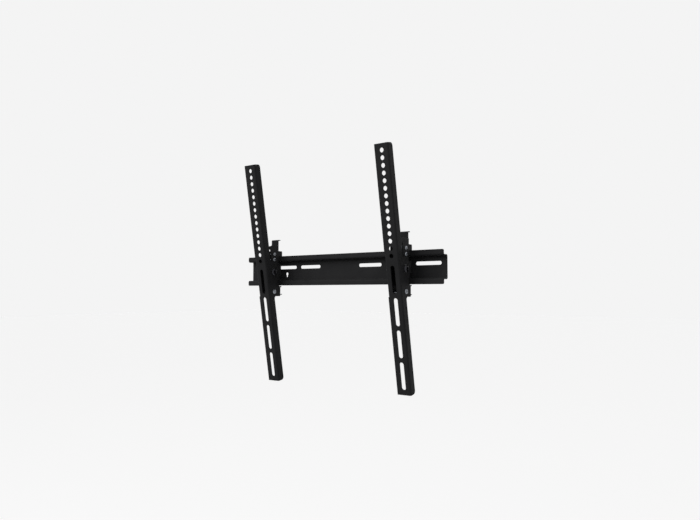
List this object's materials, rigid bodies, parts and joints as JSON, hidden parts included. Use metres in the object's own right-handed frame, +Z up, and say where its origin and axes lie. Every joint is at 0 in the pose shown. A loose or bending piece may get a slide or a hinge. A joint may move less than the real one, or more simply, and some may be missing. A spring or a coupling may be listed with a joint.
{
  "type": "tilting tv wall mount",
  "caption": "Tilting wall mount for a flat screen: a slotted wall plate with two hook-on, sprung-latch arms that slide along it and lean forward.",
  "frame": {"origin": "middle of the wall plate, on the wall itself", "axes": "+X right as seen from the room, +Y into the wall, +Z up"},
  "size_m": [0.45, 0.0923, 0.4252],
  "materials": {
    "black_powder_coat": "fine matte powder coat on folded steel",
    "zinc_plated_steel": "bright zinc plate",
    "black_oxide_steel": "black oxide",
    "black_nylon": "moulded nylon"
  },
  "bodies": {
    "wall_plate": {"wall_plate": "black_powder_coat"},
    "left_carriage": {"left_hook_bracket": "black_powder_coat", "left_latch_spring": "zinc_plated_steel", "left_latch_rivets": "zinc_plated_steel", "left_pivot_sleeve": "zinc_plated_steel"},
    "left_screen_arm": {"left_arm": "black_powder_coat", "left_pivot_bolt": "black_oxide_steel", "left_pivot_washers": "black_nylon", "left_pivot_nut": "zinc_plated_steel", "left_lock_screw": "zinc_plated_steel", "left_lock_nut": "zinc_plated_steel", "left_stop_screw": "zinc_plated_steel", "left_stop_nut": "zinc_plated_steel", "left_lower_screw": "zinc_plated_steel", "left_lower_nut": "zinc_plated_steel"},
    "left_safety_latch": {"left_latch": "black_powder_coat"},
    "right_carriage": {"right_hook_bracket": "black_powder_coat", "right_latch_spring": "zinc_plated_steel", "right_latch_rivets": "zinc_plated_steel", "right_pivot_sleeve": "zinc_plated_steel"},
    "right_screen_arm": {"right_arm": "black_powder_coat", "right_pivot_bolt": "black_oxide_steel", "right_pivot_washers": "black_nylon", "right_pivot_nut": "zinc_plated_steel", "right_lock_screw": "zinc_plated_steel", "right_lock_nut": "zinc_plated_steel", "right_stop_screw": "zinc_plated_steel", "right_stop_nut": "zinc_plated_steel", "right_lower_screw": "zinc_plated_steel", "right_lower_nut": "zinc_plated_steel"},
    "right_safety_latch": {"right_latch": "black_powder_coat"}
  },
  "joints": [
    {"name": "left_rail_slide", "type": "slide", "parent": "wall_plate", "child": "left_carriage", "axis": [1, 0, 0], "range_m": [-0.05, 0.1]},
    {"name": "left_tilt", "type": "hinge", "parent": "left_carriage", "child": "left_screen_arm", "pos_m": [-0.15, -0.036, -0.003], "axis": [1, 0, 0], "range_deg": [-10, 0]},
    {"name": "left_latch_pull", "type": "slide", "parent": "left_carriage", "child": "left_safety_latch", "axis": [0, 0, 1], "range_m": [-0.0055, 0], "stiffness_N_per_m": 900, "springref_m": 0.004, "deforming": ["left_latch_spring"]},
    {"name": "right_rail_slide", "type": "slide", "parent": "wall_plate", "child": "right_carriage", "axis": [1, 0, 0], "range_m": [-0.1, 0.05]},
    {"name": "right_tilt", "type": "hinge", "parent": "right_carriage", "child": "right_screen_arm", "pos_m": [0.15, -0.036, -0.003], "axis": [1, 0, 0], "range_deg": [-10, 0]},
    {"name": "right_latch_pull", "type": "slide", "parent": "right_carriage", "child": "right_safety_latch", "axis": [0, 0, 1], "range_m": [-0.0055, 0], "stiffness_N_per_m": 900, "springref_m": 0.004, "deforming": ["right_latch_spring"]}
  ]
}
